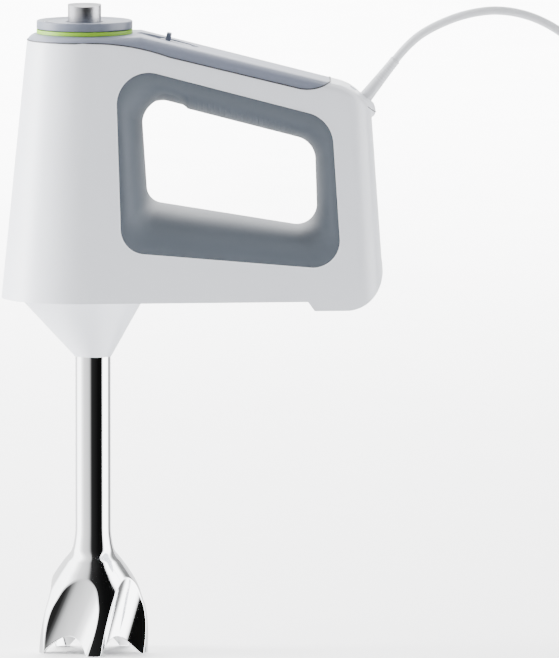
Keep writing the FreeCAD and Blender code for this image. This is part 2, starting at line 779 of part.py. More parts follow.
feature(adapter_shell(), "adapter_cone")
keep(fuse(drill(cylinder("adapter_radius - adapter_wall - 2.3", "2.6", "0 - adapter_offset",
                         z="adapter_top - 2.6"), cylinder("9.5", "20", z="200")),
          *[cylinder("2.5", "4.6", "peg_x", f"{side} * peg_y", "adapter_top - 0.5") for side in MIRROR]),
     "coupling_plate")
turned("shaft_tube", [("tube_radius - tube_wall", "tube_bottom"), ("tube_radius", "tube_bottom"),
                      ("tube_radius", "tube_top"), ("tube_radius - tube_wall", "tube_top")])
turned("tube_nut", [("tube_radius", "188.2"), ("12.6", "188.2"), ("12.6", "192"), ("tube_radius", "192")])


# half profile of the bell, from rim to neck, as shares of its radius and height
BELL_PROFILE = [(1.0, 0.0), (1.0, 0.13), (0.985, 0.26), (0.945, 0.38), (0.885, 0.47), (0.81, 0.575),
                (0.685, 0.68), (0.53, 0.785), (0.385, 0.875)]


def bell_form(inset):
    """Solid bell of revolution, moved inwards by inset."""
    radius, top, neck = size("bell_radius"), size("bell_top"), size("tube_radius")
    points = [Vector(radius * share, 0, top * rise) for share, rise in BELL_PROFILE]
    points.append(Vector(neck, 0, top))
    curve = Part.BSplineCurve()
    curve.interpolate(Points=points, InitialTangent=Vector(0, 0, 1), FinalTangent=Vector(0, 0, 1))
    if inset:
        samples = 24
        moved = []
        for number in range(samples + 1):
            spot = curve.FirstParameter + (curve.LastParameter - curve.FirstParameter) * number / samples
            run = curve.tangent(spot)[0]
            moved.append(curve.value(spot) + Vector(-run.z, 0, run.x) * inset)
        moved[0].z = 0
        moved[-1].z = top
        curve = Part.BSplineCurve()
        curve.interpolate(Points=moved)
    first, last = curve.value(curve.FirstParameter), curve.value(curve.LastParameter)
    wire = Part.Wire([Part.LineSegment(Vector(0, 0, 0), first).toShape(), curve.toShape(),
                      Part.LineSegment(last, Vector(0, 0, top)).toShape(),
                      Part.LineSegment(Vector(0, 0, top), Vector(0, 0, 0)).toShape()])
    return Part.Face(wire).revolve(Vector(), Vector(0, 0, 1), 360)


def valley_angles():
    count = int(size("flutes"))
    return [math.radians(-90 + 180 / count + 360 * number / count) for number in range(count)]


def flute_cutter(turn, radius):
    """Leaning cylinder that scoops one flute; it also tilts towards the axis as it rises."""
    turn += math.radians(size("flute_turn"))
    lean, tilt = math.tan(math.radians(size("flute_lean"))), math.tan(math.radians(size("flute_tilt")))
    outwards, sideways = Vector(math.cos(turn), math.sin(turn), 0), Vector(-math.sin(turn), math.cos(turn), 0)
    middle = outwards * size("flute_distance") + Vector(0, 0, size("flute_middle"))
    rising = Vector(0, 0, 1) + sideways * lean - outwards * tilt
    return Part.makeCylinder(radius, 150, middle - rising * (75 / rising.Length), rising)


def bell_guard():
    """Fluted steel bell: concave scallops between the feet, arched rim."""
    outside, inside = bell_form(0), bell_form(size("bell_wall"))
    for turn in valley_angles():
        outside = outside.cut(flute_cutter(turn, size("flute_radius")))
        inside = inside.cut(flute_cutter(turn, size("flute_radius") + size("bell_wall")))
    bell = outside.cut(inside)
    for turn in valley_angles():
        centre = Vector(0, 0, size("notch_height") - size("notch_radius"))
        arch = Part.makeCylinder(size("notch_radius"), 60, centre, Vector(math.cos(turn), math.sin(turn), 0))
        bell = bell.cut(arch)
    return bell


feature(bell_guard(), "bell_guard")
for label, low, high in (("lower_bush", "76", "88"), ("upper_bush", "182", "191.5")):
    turned(label, [("blade_shaft_radius + running_gap", low), ("tube_radius - tube_wall", low),
                   ("tube_radius - tube_wall", high), ("blade_shaft_radius + running_gap", high)])
turned("lip_seal", [("blade_shaft_radius + running_gap", "71"), ("tube_radius - tube_wall", "71"),
                    ("tube_radius - tube_wall", "75.5"), ("4.6", "75.5"),
                    ("blade_shaft_radius + running_gap", "73.2")])


# ---- blade drive ----

turned("blade_shaft", [("0.001", "9"), ("blade_shaft_radius", "9"),
                       ("blade_shaft_radius", "blade_shaft_top"), ("0.001", "blade_shaft_top")])


def hexagon(radius, low, high, bore):
    corners = [Vector(radius * math.cos(math.radians(60 * number)),
                      radius * math.sin(math.radians(60 * number)), low) for number in range(7)]
    solid = Part.Face(Part.makePolygon(corners)).extrude(Vector(0, 0, high - low))
    return solid.cut(upright(bore, low - 1, high + 1)) if bore else solid


def male_coupling():
    top = size("blade_shaft_top")
    bore = upright(size("blade_shaft_radius"), top - 8, top)
    flange = upright(size("coupling_radius"), top - 7, top).cut(bore)
    return flange.fuse(hexagon(4.3, top, top + 6.4, 0))


feature(male_coupling(), "male_coupling")
turned("blade_hub", [("blade_shaft_radius", "blade_level - 2.5"), ("4.6", "blade_level - 2.5"),
                     ("5.4", "blade_level"), ("5.4", "blade_level + 3"), ("4.0", "blade_level + 8"),
                     ("blade_shaft_radius", "blade_level + 8")])


def wing(lift):
    """One blade wing: root, then a tip bent up or down, sharpened towards the end."""
    reach, level = size("blade_reach"), size("blade_level") + 1.0
    bend = 0.55 * reach
    line = [Vector(4.8, 0, level), Vector(bend, 0, level), Vector(reach - 0.8, 0, level + lift)]
    top = [spot + Vector(0, 0, 1.4) for spot in reversed(line)]
    side = Part.Face(Part.makePolygon(line + top + line[:1]))
    side.translate(Vector(0, -5, 0))
    solid = side.extrude(Vector(0, 10, 0))
    plan = [Vector(3, -4.6, 0), Vector(bend, -4.2, 0), Vector(reach - 1, -1.0, 0),
            Vector(reach - 1, 2.4, 0), Vector(bend, 4.2, 0), Vector(3, 4.6, 0)]
    outline = Part.Face(Part.makePolygon(plan + plan[:1])).extrude(Vector(0, 0, 60))
    return solid.common(outline).cut(upright(5.4, 0, 60))


def blade():
    """Four-winged blade ring round the hub."""
    ring = upright(7.0, size("blade_level") + 1.0, size("blade_level") + 2.4)
    ring = ring.cut(upright(5.4, 0, 60))
    for number in range(4):
        part = wing((-4.5, 3.5)[number % 2])
        part.rotate(Vector(), Vector(0, 0, 1), 20 + 90 * number)
        ring = ring.fuse(part)
    return ring.removeSplitter()


feature(blade(), "blade")
feature(hexagon(4.2, 9.3, 12.4, size("blade_shaft_radius")), "blade_nut")


# ---- cord, swivel and plug ----

def along(radius_low, radius_high, low, high):
    """A straight or tapered bar on the cord exit axis."""
    base = point(size("swivel_x"), size("swivel_level")) + swivel_direction() * low
    if radius_low == radius_high:
        return Part.makeCylinder(radius_low, high - low, base, swivel_direction())
    return Part.makeCone(radius_low, radius_high, high - low, base, swivel_direction())


CORD_EXIT = 33.0


def swivel():
    """Domed cord swivel with its retaining flange."""
    radius = size("swivel_radius")
    dome_radius = (radius ** 2 + 3.2 ** 2) / 6.4
    centre = point(size("swivel_x"), size("swivel_level")) + swivel_direction() * (4.0 - dome_radius)
    dome = Part.makeSphere(dome_radius, centre).common(along(radius, radius, -0.6, 8))
    return dome.fuse(along(5.0, 5.0, -8.5, 0)).fuse(along(7.6, 7.6, -8.5, -6.4))


feature(swivel(), "cord_swivel")
feature(along(9.7, 9.7, -5.9, -1.2).cut(along(5.3, 5.3, -9, 1)), "swivel_seat")


def strain_relief():
    """Tapered sleeve with flexing grooves round the cord's first stretch."""
    sleeve = along(4.4, 3.2, 4.1, CORD_EXIT)
    for number in range(5):
        low = 15.0 + 3.0 * number
        groove = along(6.0, 6.0, low, low + 1.0).cut(along(2.9, 2.9, low - 1, low + 2))
        sleeve = sleeve.cut(groove)
    return sleeve


feature(strain_relief(), "strain_relief")
clamp = Part.makeBox(13.0, 14.0, 5.0, Vector(149.0, -7.0, 307.5))
feature(clamp.cut(Part.makeCylinder(2.9, 9, Vector(155.5, 0, 306))), "cord_clamp")


COIL_X = size("coil_x")
LOOP = size("coil_mid_radius")
# the cord leaves along the strain relief's axis, goes over its hump, down and along the floor to the coil
CORD_ROUTE = [
    (205.0, 0.0, 376.9), (224.0, 0.0, 384.2), (245.0, 1.0, 386.7), (268.0, 2.0, 381.0),
    (289.0, 4.0, 367.0), (304.0, 8.0, 337.0), (312.0, 14.0, 296.0), (315.0, 22.0, 232.0),
    (313.0, 34.0, 160.0), (314.5, 45.0, 98.0), (313.0, 54.0, 52.0), (315.0, 53.0, 22.0),
    (312.5, 38.0, 4.0), (311.6, 16.0, 2.7), (311.4, 0.0, 2.7),
]


def cord_path(points):
    """Straight runs joined by tangent arcs as large as the runs allow."""
    edges, start, radii = [], points[0], []
    for before, spot, after in zip(points, points[1:], points[2:]):
        back, on = (before - spot), (after - spot)
        shorter = min(back.Length, on.Length)
        half_turn = (math.pi - back.getAngle(on)) / 2
        reach = 0.45 * shorter
        radius = reach / math.tan(half_turn)
        radii.append(radius)
        back.normalize()
        on.normalize()
        inward = (back + on).normalize()
        centre = spot + inward * (radius / math.cos(half_turn))
        first, last = spot + back * reach, spot + on * reach
        edges.append(Part.LineSegment(start, first).toShape())
        edges.append(Part.Arc(first, centre - inward * radius, last).toShape())
        start = last
    edges.append(Part.LineSegment(start, points[-1]).toShape())
    print("cord arc radii", [round(radius, 1) for radius in radii])
    return Part.Wire(edges)


def tube(path, radius):
    """A round tube along a path; its volume must be its section times its length."""
    run = path.Edges[0].tangentAt(0)
    start = path.Edges[0].valueAt(path.Edges[0].FirstParameter)
    ring = Part.Wire(Part.Circle(start, run, radius).toShape())
    solid = path.makePipeShell([ring], True, True)
    expected = math.pi * radius ** 2 * path.Length
    print("cord length", round(path.Length, 1), "volume ratio", round(solid.Volume / expected, 4))
    return solid


def cord():
    exit_point = point(size("swivel_x"), size("swivel_level")) + swivel_direction() * CORD_EXIT
    first = exit_point + swivel_direction() * size("cord_first_run")
    points = [exit_point, first] + [Vector(*spot) for spot in CORD_ROUTE]
    return tube(cord_path(points), thick / 2)


thick = size("cord_diameter")
feature(cord(), "cord_tube")
feature(upright(LOOP + thick, 0, 2 * thick, COIL_X).cut(upright(LOOP - thick, -1, 2 * thick + 1, COIL_X)),
        "cord_coil")


def plug_parts():
    """Lead from the coil's outer turn, flat plug body with its own relief, and two round pins."""
    x, level, start = COIL_X + LOOP + thick / 2, 1.5 * thick, size("lead_length")
    face = start + size("plug_length")
    lead = Part.makeCylinder(thick / 2, start, Vector(x, 0, level), Vector(0, 1, 0))
    relief = Part.makeCone(thick / 2 + 0.6, thick / 2 + 2.2, size("plug_relief"), Vector(x, start, level),
                           Vector(0, 1, 0))
    half_neck, half_width = size("plug_neck") / 2, size("plug_width") / 2
    neck, shoulder = start + size("plug_relief"), start + size("plug_shoulder")
    half = [(half_neck, neck), (half_width, shoulder), (half_width, face)]
    outline = [Vector(x - wide, y, 0) for wide, y in half]
    outline += [Vector(x + wide, y, 0) for wide, y in half[::-1]]
    body = Part.Face(Part.makePolygon(outline + outline[:1])).extrude(Vector(0, 0, 2 * level))
    edges = [edge for edge in body.Edges if edge.CenterOfMass.y < face - 1]
    body = body.makeFillet(2.5, edges)
    feature(lead, "cord_lead")
    feature(body.fuse(relief), "plug_body")
    pins = []
    for side in MIRROR:
        base = Vector(x + side * size("plug_pin_gap") / 2, face, level)
        pin = Part.makeCylinder(size("plug_pin_radius"), size("plug_pin_length"), base, Vector(0, 1, 0))
        pins.append(pin)
    feature(Part.makeCompound(pins), "plug_pins")


plug_parts()


# ---- write every sub-part ----

doc.recompute()
for item in doc.Objects:
    if "Invalid" in item.State or "Error" in item.State:
        raise RuntimeError(f"{item.Label} did not compute: {item.State}")
os.makedirs("parts", exist_ok=True)
for item in nodes:
    if item.Shape.isNull() or not item.Shape.isValid():
        raise RuntimeError(f"{item.Label} has no valid shape")
    item.Shape.exportStep(f"parts/{item.Label}.step")
print(len(nodes), "sub-parts written")
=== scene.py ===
import bpy, bmesh, math, json
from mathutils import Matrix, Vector
from mathutils.bvhtree import BVHTree


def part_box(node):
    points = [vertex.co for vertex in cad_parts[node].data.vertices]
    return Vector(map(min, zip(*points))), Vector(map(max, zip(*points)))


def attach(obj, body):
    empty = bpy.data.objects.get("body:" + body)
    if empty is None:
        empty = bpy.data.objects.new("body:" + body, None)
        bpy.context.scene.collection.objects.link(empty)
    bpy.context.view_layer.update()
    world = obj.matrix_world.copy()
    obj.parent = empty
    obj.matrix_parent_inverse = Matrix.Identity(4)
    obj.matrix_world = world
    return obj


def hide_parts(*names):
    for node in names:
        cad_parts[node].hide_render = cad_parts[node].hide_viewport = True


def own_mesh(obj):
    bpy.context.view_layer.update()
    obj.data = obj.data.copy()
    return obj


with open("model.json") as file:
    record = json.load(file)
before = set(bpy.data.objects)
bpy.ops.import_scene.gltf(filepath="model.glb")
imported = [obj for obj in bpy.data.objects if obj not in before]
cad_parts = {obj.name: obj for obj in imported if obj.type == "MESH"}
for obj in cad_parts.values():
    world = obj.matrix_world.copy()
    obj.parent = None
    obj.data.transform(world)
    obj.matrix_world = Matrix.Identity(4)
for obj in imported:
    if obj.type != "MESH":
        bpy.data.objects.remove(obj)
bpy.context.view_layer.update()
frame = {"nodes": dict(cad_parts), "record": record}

NODES = frame["nodes"]
MM = 0.001
UP = Vector((0, 0, 1))
ACROSS = Vector((0, 1, 0))

# ------------------------------------------------------------------ camera

CAMERA_ELEVATION = math.radians(5.5)
CAMERA_DISTANCE = 12.0
CAMERA_REACH = 80.0
VIEW_CENTRE = Vector((0.1119, 0.0, 0.1942))
VIEW_HEIGHT = 0.3948
SENSOR = 36.0


def make_camera():
    data = bpy.data.cameras.new("camera")
    camera = bpy.data.objects.new("camera", data)
    bpy.context.scene.collection.objects.link(camera)
    forward = Vector((0.0, math.cos(CAMERA_ELEVATION), -math.sin(CAMERA_ELEVATION)))
    camera.location = VIEW_CENTRE - forward * CAMERA_DISTANCE
    camera.rotation_euler = (math.pi / 2 - CAMERA_ELEVATION, 0.0, 0.0)
    data.sensor_width = SENSOR
    data.lens = SENSOR * CAMERA_DISTANCE / VIEW_HEIGHT
    data.clip_end = CAMERA_REACH
    bpy.context.scene.camera = camera


make_camera()


# ------------------------------------------------------------------ helpers

def new_piece(name, shape, body, slot):
    """A piece, from a mesh or a curve, that rides on a body and carries the material of its slot."""
    piece = bpy.data.objects.new(name, shape)
    bpy.context.scene.collection.objects.link(piece)
    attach(piece, body)
    # the material comes last: given before linking, the posed cord reports a smaller box
    shape.materials.clear()
    shape.materials.append(SLOT_MATERIALS[slot])
    return piece


WELD_DISTANCE = 1e-7


def ring_mesh(name, rows):
    """A smooth closed mesh through rings of points; the last ring joins the first."""
    mesh = bpy.data.meshes.new(name)
    count = len(rows[0])
    vertices = [tuple(spot) for row in rows for spot in row]
    faces = []
    for row in range(len(rows)):
        above = (row + 1) % len(rows)
        for column in range(count):
            beside = (column + 1) % count
            faces.append((row * count + column, row * count + beside,
                          above * count + beside, above * count + column))
    mesh.from_pydata(vertices, [], faces)
    mesh.validate()
    tidy = bmesh.new()
    tidy.from_mesh(mesh)
    bmesh.ops.remove_doubles(tidy, verts=tidy.verts, dist=WELD_DISTANCE)
    bmesh.ops.recalc_face_normals(tidy, faces=tidy.faces)
    tidy.to_mesh(mesh)
    tidy.free()
    mesh.shade_smooth()
    return mesh


def lathe_rows(profile, centre, along, segments):
    """Rings of a turned piece: profile is (radius, distance) pairs in metres about an axis."""
    turn = UP.rotation_difference(along.normalized()).to_matrix()
    rows = []
    for radius, distance in profile:
        ring = []
        for number in range(segments):
            angle = 2 * math.pi * number / segments
            spot = Vector((radius * math.cos(angle), radius * math.sin(angle), distance))
            ring.append(centre + turn @ spot)
        rows.append(ring)
    return rows


ROUNDING_STEPS = 4


def rounded_profile(corners, radius):
    """A closed profile of (radius, distance) corners, each one rounded by an arc of that size."""
    points = []
    count = len(corners)
    for index, corner in enumerate(corners):
        spot = Vector(corner)
        before = Vector(corners[index - 1]) - spot
        after = Vector(corners[(index + 1) % count]) - spot
        reach = min(radius, before.length * 0.45, after.length * 0.45)
        first, last = spot + before.normalized() * reach, spot + after.normalized() * reach
        for step in range(ROUNDING_STEPS + 1):
            share = step / ROUNDING_STEPS
            place = (1 - share) ** 2 * first + 2 * share * (1 - share) * spot + share ** 2 * last
            points.append(tuple(place))
    return points


def turned_piece(name, corners, centre, body, slot, edge, along=UP, segments=128):
    rows = lathe_rows(rounded_profile(corners, edge), centre, along, segments)
    return new_piece(name, ring_mesh(name, rows), body, slot)


def bead(name, path, radius, body, slot, closed=True):
    """A thin round bead along a path of points."""
    curve = bpy.data.curves.new(name, "CURVE")
    curve.dimensions = "3D"
    spline = curve.splines.new("POLY")
    spline.points.add(len(path) - 1)
    for target, spot in zip(spline.points, path):
        target.co = (*spot, 1.0)
    spline.use_cyclic_u = closed
    curve.bevel_depth = radius
    curve.bevel_resolution = 4
    curve.use_fill_caps = not closed
    line = bpy.data.objects.new(name + "_line", curve)
    mesh = bpy.data.meshes.new_from_object(line)
    mesh.name = name
    mesh.shade_smooth()
    return new_piece(name, mesh, body, slot)


def smooth_share(value, start, end):
    """0 before start, 1 after end, and a smooth rise between."""
    share = min(1.0, max(0.0, (value - start) / (end - start)))
    return share * share * (3 - 2 * share)


def piecewise(points, x):
    """The value at x of straight lines through (x, y) points, and 0 outside them."""
    for (x0, y0), (x1, y1) in zip(points, points[1:]):
        if x0 <= x <= x1:
            return y0 + (y1 - y0) * (x - x0) / (x1 - x0)
    return 0.0


# ------------------------------------------------------------------ materials

def nodes_of(name):
    material = bpy.data.materials.new(name)
    material.use_nodes = True
    tree = material.node_tree
    return material, tree, tree.nodes["Principled BSDF"]


def link(tree, start, end):
    tree.links.new(start, end)


def coordinates(tree, scale=(1, 1, 1)):
    place = tree.nodes.new("ShaderNodeTexCoord")
    mapping = tree.nodes.new("ShaderNodeMapping")
    mapping.inputs["Scale"].default_value = scale
    link(tree, place.outputs["Object"], mapping.inputs["Vector"])
    return mapping.outputs["Vector"]


def noise(tree, vector, scale, detail):
    texture = tree.nodes.new("ShaderNodeTexNoise")
    texture.inputs["Scale"].default_value = scale
    texture.inputs["Detail"].default_value = detail
    link(tree, vector, texture.inputs["Vector"])
    return texture.outputs["Fac"]


def remap(tree, value, low, high):
    """The usual span of a noise value stretched to low and high."""
    ranged = tree.nodes.new("ShaderNodeMapRange")
    ranged.inputs["From Min"].default_value = 0.3
    ranged.inputs["From Max"].default_value = 0.7
    ranged.inputs["To Min"].default_value = low
    ranged.inputs["To Max"].default_value = high
    link(tree, value, ranged.inputs["Value"])
    return ranged.outputs["Result"]


def two_tone(tree, value, first, second):
    blend = tree.nodes.new("ShaderNodeMix")
    blend.data_type = "RGBA"
    blend.inputs["A"].default_value = (*first, 1)
    blend.inputs["B"].default_value = (*second, 1)
    link(tree, value, blend.inputs["Factor"])
    return blend.outputs["Result"]


def relief(tree, value, distance, strength=1.0):
    bump = tree.nodes.new("ShaderNodeBump")
    bump.inputs["Distance"].default_value = distance
    bump.inputs["Strength"].default_value = strength
    link(tree, value, bump.inputs["Height"])
    return bump.outputs["Normal"]


def shade(colour, factor):
    return tuple(min(1.0, part * factor) for part in colour)


def linear(red, green, blue):
    """Linear colour from ordinary 0 to 255 values."""
    return tuple((part / 255) ** 2.2 for part in (red, green, blue))


CLOUD_SCALE = 14.0


def moulded(name, colour, roughness, grain=1400.0, depth=0.00003, spread=0.03, coat=0.0, metallic=0.0,
            sheen=0.0):
    """Moulded plastic, rubber or cast metal: faint clouding, uneven gloss and a fine moulded grain."""
    material, tree, shader = nodes_of(name)
    vector = coordinates(tree)
    cloud = noise(tree, vector, CLOUD_SCALE, 4.0)
    tint = two_tone(tree, remap(tree, cloud, 0, 1), shade(colour, 1 - spread), shade(colour, 1 + spread))
    link(tree, tint, shader.inputs["Base Color"])
    fine = noise(tree, vector, grain, 2.0)
    link(tree, remap(tree, cloud, roughness * 0.92, roughness * 1.08), shader.inputs["Roughness"])
    link(tree, relief(tree, fine, depth), shader.inputs["Normal"])
    shader.inputs["Metallic"].default_value = metallic
    shader.inputs["Coat Weight"].default_value = coat
    shader.inputs["Coat Roughness"].default_value = 0.12
    shader.inputs["Sheen Weight"].default_value = sheen
    return material


def polished(name, colour, roughness):
    """Polished metal with faint wiping marks along its length."""
    material, tree, shader = nodes_of(name)
    vector = coordinates(tree, (1, 1, 0.12))
    smear = noise(tree, vector, 160.0, 4.0)
    link(tree, two_tone(tree, remap(tree, smear, 0, 1), shade(colour, 0.97), shade(colour, 1.02)),
         shader.inputs["Base Color"])
    link(tree, remap(tree, smear, roughness * 0.75, roughness * 1.3), shader.inputs["Roughness"])
    fine = noise(tree, coordinates(tree, (1, 1, 0.02)), 4200.0, 2.0)
    link(tree, relief(tree, fine, 0.000002, 0.25), shader.inputs["Normal"])
    shader.inputs["Metallic"].default_value = 1.0
    return material


RING_SCALE = 5200.0


def spun(name, colour, roughness, centre):
    """Turned metal: fine rings about a vertical axis and bands down the side."""
    material, tree, shader = nodes_of(name)
    place = tree.nodes.new("ShaderNodeTexCoord")
    shift = tree.nodes.new("ShaderNodeVectorMath")
    shift.operation = "SUBTRACT"
    shift.inputs[1].default_value = centre
    link(tree, place.outputs["Object"], shift.inputs[0])
    split = tree.nodes.new("ShaderNodeSeparateXYZ")
    link(tree, shift.outputs["Vector"], split.inputs["Vector"])
    flat = tree.nodes.new("ShaderNodeCombineXYZ")
    link(tree, split.outputs["X"], flat.inputs["X"])
    link(tree, split.outputs["Y"], flat.inputs["Y"])
    radius = tree.nodes.new("ShaderNodeVectorMath")
    radius.operation = "LENGTH"
    link(tree, flat.outputs["Vector"], radius.inputs[0])
    rings = tree.nodes.new("ShaderNodeCombineXYZ")
    link(tree, radius.outputs["Value"], rings.inputs["X"])
    link(tree, split.outputs["Z"], rings.inputs["Z"])
    lines = noise(tree, rings.outputs["Vector"], RING_SCALE, 3.0)
    link(tree, two_tone(tree, remap(tree, lines, 0, 1), shade(colour, 0.86), shade(colour, 1.08)),
         shader.inputs["Base Color"])
    link(tree, remap(tree, lines, roughness * 0.8, roughness * 1.25), shader.inputs["Roughness"])
    link(tree, relief(tree, lines, 0.000012, 0.6), shader.inputs["Normal"])
    shader.inputs["Metallic"].default_value = 1.0
    shader.inputs["Anisotropic"].default_value = 0.5
    return material


button_low, button_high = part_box("eject_button")
BUTTON_CENTRE = ((button_low.x + button_high.x) / 2, (button_low.y + button_high.y) / 2, 0.0)

SLOT_MATERIALS = {
    "white_plastic": moulded("white_plastic", linear(224, 227, 234), 0.34, depth=0.000012, spread=0.012,
                             coat=0.12),
    "grey_cover": moulded("cover_grey", linear(112, 118, 134), 0.42, grain=2200),
    "grey_dial": moulded("dial_grey", linear(98, 104, 118), 0.38, grain=2200, depth=0.00002),
    "soft_grip": moulded("grip_blue", linear(77, 84, 93), 0.6, grain=2600, depth=0.00004, spread=0.04),
    "accent_green": moulded("accent_green", linear(122, 172, 0), 0.5, depth=0.00001),
    "polished_steel": polished("polished_steel", (0.86, 0.87, 0.885), 0.055),
    "brushed_button": spun("button_metal", (0.3, 0.3, 0.315), 0.3, BUTTON_CENTRE),
    "blade_steel": polished("blade_metal", (0.66, 0.67, 0.69), 0.24),
    "machined_steel": polished("turned_metal", (0.58, 0.59, 0.61), 0.3),
    "lamination": moulded("laminate", linear(95, 98, 105), 0.5, metallic=0.8),
    "copper": moulded("copper", linear(190, 105, 60), 0.35, metallic=1.0),
    "brass": moulded("brass", linear(200, 165, 90), 0.32, metallic=1.0),
    "bronze": moulded("bronze", linear(165, 125, 80), 0.5, metallic=1.0),
    "carbon": moulded("carbon", linear(38, 38, 40), 0.7, spread=0.1),
    "nylon": moulded("nylon", linear(226, 223, 210), 0.4),
    "dark_plastic": moulded("dark_plastic", linear(52, 54, 60), 0.5),
    "board": moulded("board_green", linear(38, 92, 60), 0.45),
    "aluminium": moulded("aluminium", linear(195, 197, 200), 0.4, metallic=1.0),
    "seal_rubber": moulded("seal_rubber", linear(44, 44, 47), 0.7, sheen=0.1),
    "cord_grey": moulded("cord_sheath", linear(205, 207, 212), 0.45, grain=3000),
    "pin_metal": polished("nickel", (0.74, 0.72, 0.68), 0.16),
}


def paint_nodes():
    """Every CAD node takes the procedural material of its record slot."""
    for row in frame["record"]["subparts"]:
        mesh = NODES[row["node"]].data
        mesh.materials.clear()
        mesh.materials.append(SLOT_MATERIALS[row["material_slot"]])


paint_nodes()


# ------------------------------------------------------------------ cord

CORD_DIAMETER = 0.0052
SWIVEL = Vector((0.1608, 0.0, 0.3305))
EXIT_ANGLE = math.radians(51.5)
EXIT_AXIS = Vector((math.cos(EXIT_ANGLE), 0.0, math.sin(EXIT_ANGLE)))
RELIEF_END = 0.033
CORD_EXIT = SWIVEL + EXIT_AXIS * RELIEF_END
CORD_FIRST_RUN = 0.014
CORD_ROUTE = [
    (0.205, 0.0, 0.3769), (0.224, 0.0, 0.3842), (0.245, 0.001, 0.3867), (0.268, 0.002, 0.381),
    (0.289, 0.004, 0.367), (0.304, 0.008, 0.337), (0.312, 0.014, 0.296), (0.315, 0.022, 0.232),
    (0.313, 0.034, 0.160), (0.3145, 0.045, 0.098), (0.313, 0.054, 0.052), (0.315, 0.053, 0.022),
    (0.3125, 0.038, 0.004), (0.3116, 0.016, 0.0027), (0.3114, 0.0, 0.0027),
]
COIL_CENTRE = Vector((0.344, 0.0, 0.0))
COIL_INNER, COIL_OUTER = 0.0274, 0.0326
COIL_LOWER, COIL_UPPER = 0.0027, 0.0078
COIL_TURNS = 3.5
POINTS_PER_TURN = 24


def coil_points():
    """Two turns side by side on the floor, then the rest on top of them."""
    points = []
    for number in range(1, round(COIL_TURNS * POINTS_PER_TURN) + 1):
        turn = number / POINTS_PER_TURN
        angle = math.pi + 2 * math.pi * turn
        inward = smooth_share(turn, 0.72, 1.0) - smooth_share(turn, 2.72, 3.0)
        radius = COIL_OUTER + (COIL_INNER - COIL_OUTER) * inward
        level = COIL_LOWER + (COIL_UPPER - COIL_LOWER) * smooth_share(turn, 1.45, 1.75)
        points.append(COIL_CENTRE + Vector((radius * math.cos(angle), radius * math.sin(angle), level)))
    return points


def cord_curve():
    """The whole cord as one curve; the points' radius, not the bevel depth, is half its diameter."""
    plug_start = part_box("plug_body")[0].y
    end = Vector((COIL_CENTRE.x + COIL_OUTER, plug_start + 0.001, COIL_UPPER))
    lead = [end - ACROSS * 0.022, end]
    start = [CORD_EXIT, CORD_EXIT + EXIT_AXIS * CORD_FIRST_RUN]
    points = start + [Vector(spot) for spot in CORD_ROUTE] + coil_points() + lead
    curve = bpy.data.curves.new("mains_cord", "CURVE")
    curve.dimensions = "3D"
    spline = curve.splines.new("NURBS")
    spline.points.add(len(points) - 1)
    for target, spot in zip(spline.points, points):
        target.co = (*spot, 1.0)
        target.radius = CORD_DIAMETER / 2
    spline.order_u = 3
    spline.use_endpoint_u = True
    spline.resolution_u = 8
    curve.bevel_depth = 1.0
    curve.bevel_resolution = 6
    curve.use_fill_caps = True
    piece = new_piece("mains_cord", curve, "motor_body", "cord_grey")
    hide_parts("cord_tube", "cord_coil", "cord_lead")
    return piece


mains_cord = cord_curve()


# ------------------------------------------------------------------ steel tube and bell

BELL_PROFILE = [(1.0, 0.0), (1.0, 0.13), (0.985, 0.26), (0.945, 0.38), (0.885, 0.47), (0.81, 0.575),
                (0.685, 0.68), (0.53, 0.785), (0.385, 0.875)]
FLUTES = 5
FLUTE_RADIUS = 0.0285
FLUTE_DISTANCE = 0.0523
FLUTE_MIDDLE = 0.020
FLUTE_TURN = math.radians(9.5)
NOTCH_HEIGHT = 0.011
NOTCH_RADIUS = 0.017
BELL_WALL = 0.0009
BELL_RADIUS = 0.0333
FLUTE_LEAN = math.radians(24.0)
FLUTE_TILT = math.radians(2.0)
CREASE = 0.0005
FLARE_END = 0.0003
FLARE_RUN = 0.005
FLARE_AFTER = 0.012


def catmull(points, share):
    """A smooth value between (x, y) points at x = share, by cubic pieces."""
    for index in range(len(points) - 1):
        if share <= points[index + 1][0] or index == len(points) - 2:
            break
    x0, y0 = points[index]
    x1, y1 = points[index + 1]
    before = points[index - 1] if index else (2 * x0 - x1, y0)
    after = points[index + 2] if index + 2 < len(points) else (2 * x1 - x0, y1)
    slope0 = (y1 - before[1]) / (x1 - before[0])
    slope1 = (after[1] - y0) / (after[0] - x0)
    width = x1 - x0
    part = (share - x0) / width
    values = (2 * part ** 3 - 3 * part ** 2 + 1) * y0 + (3 * part ** 2 - 2 * part ** 3) * y1
    slopes = (part ** 3 - 2 * part ** 2 + part) * slope0 + (part ** 3 - part ** 2) * slope1
    return values + width * slopes


def soft_minimum(first, second, blend):
    """The smaller of two lengths, with the crease between them rounded over blend."""
    gap = max(blend - abs(first - second), 0.0) / blend
    return min(first, second) - gap * gap * blend * 0.25


def flute_lines():
    """A point on the axis, and the direction, of the leaning cylinder that scoops each flute."""
    lines = []
    for number in range(FLUTES):
        turn = 2 * math.pi * (number + 0.5) / FLUTES + FLUTE_TURN - math.pi / 2
        outwards = Vector((math.cos(turn), math.sin(turn), 0))
        sideways = Vector((-math.sin(turn), math.cos(turn), 0))
        middle = outwards * FLUTE_DISTANCE + UP * FLUTE_MIDDLE
        rising = UP + sideways * math.tan(FLUTE_LEAN) - outwards * math.tan(FLUTE_TILT)
        lines.append((middle, rising.normalized()))
    return lines


FLUTE_LINES = flute_lines()


